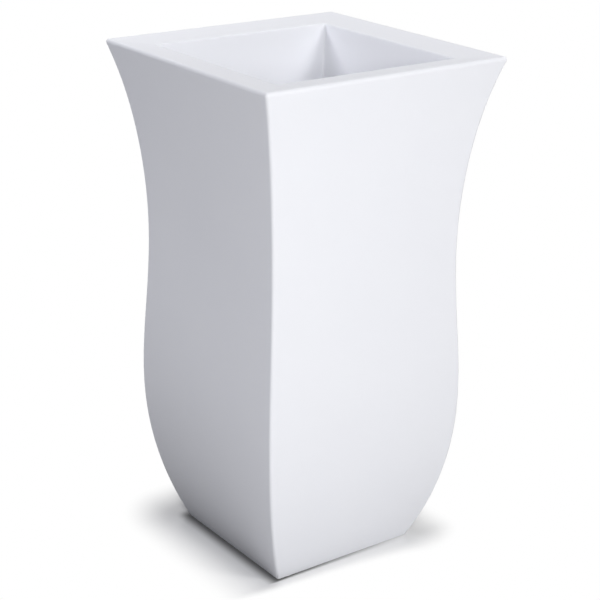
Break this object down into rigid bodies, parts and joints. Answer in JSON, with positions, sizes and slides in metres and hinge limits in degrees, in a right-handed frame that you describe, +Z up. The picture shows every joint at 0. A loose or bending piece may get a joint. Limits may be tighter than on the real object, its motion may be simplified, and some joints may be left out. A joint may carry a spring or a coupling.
{
  "type": "tall square planter",
  "caption": "Tall square planter with a flared rim, slim waist and full belly, holding a lift-out planting liner above a water reservoir with an overflow and drain.",
  "frame": {"origin": "on the floor under the middle of the planter", "axes": "+Z up through the mouth, -Y to the front and +X to the right, square to the planter's sides"},
  "size_m": [0.3808, 0.3808, 0.711],
  "materials": {
    "shell_plastic": "satin white",
    "liner_plastic": "matt pale grey",
    "grate_plastic": "matt charcoal",
    "pipe_plastic": "satin grey",
    "plug_plastic": "satin black",
    "seal_rubber": "soft black",
    "foot_rubber": "matt black",
    "screw_steel": "zinc plated"
  },
  "bodies": {
    "shell": {"outer_shell": "shell_plastic", "overflow_standpipe": "pipe_plastic", "standpipe_strainer": "pipe_plastic", "standpipe_gasket": "seal_rubber", "standpipe_nut": "pipe_plastic", "foot_screws": "screw_steel", "foot_pad_front_left": "foot_rubber", "foot_pad_front_right": "foot_rubber", "foot_pad_back_left": "foot_rubber", "foot_pad_back_right": "foot_rubber"},
    "liner": {"planting_liner": "liner_plastic"},
    "grate": {"soil_grate": "grate_plastic", "wick_cup_front_left": "grate_plastic", "wick_cup_front_right": "grate_plastic", "wick_cup_back_left": "grate_plastic", "wick_cup_back_right": "grate_plastic"},
    "plug_seal": {"drain_plug_seal": "seal_rubber"},
    "plug": {"drain_plug": "plug_plastic"}
  },
  "joints": [
    {"name": "liner_lift", "type": "slide", "parent": "shell", "child": "liner", "axis": [0, 0, 1], "range_m": [0, 0.7]},
    {"name": "grate_lift", "type": "slide", "parent": "liner", "child": "grate", "axis": [0, 0, 1], "range_m": [0, 0.68]},
    {"name": "plug_travel", "type": "slide", "parent": "shell", "child": "plug_seal", "axis": [0, 0, -1], "range_m": [0, 0.01]},
    {"name": "plug_turn", "type": "hinge", "parent": "plug_seal", "child": "plug", "pos_m": [0, 0, 0.023], "axis": [0, 0, -1], "range_deg": [0, 1440]}
  ],
  "couplings": [
    {"joint": "plug_travel", "follows": "plug_turn", "m_per_rad": 0.00039789}
  ]
}
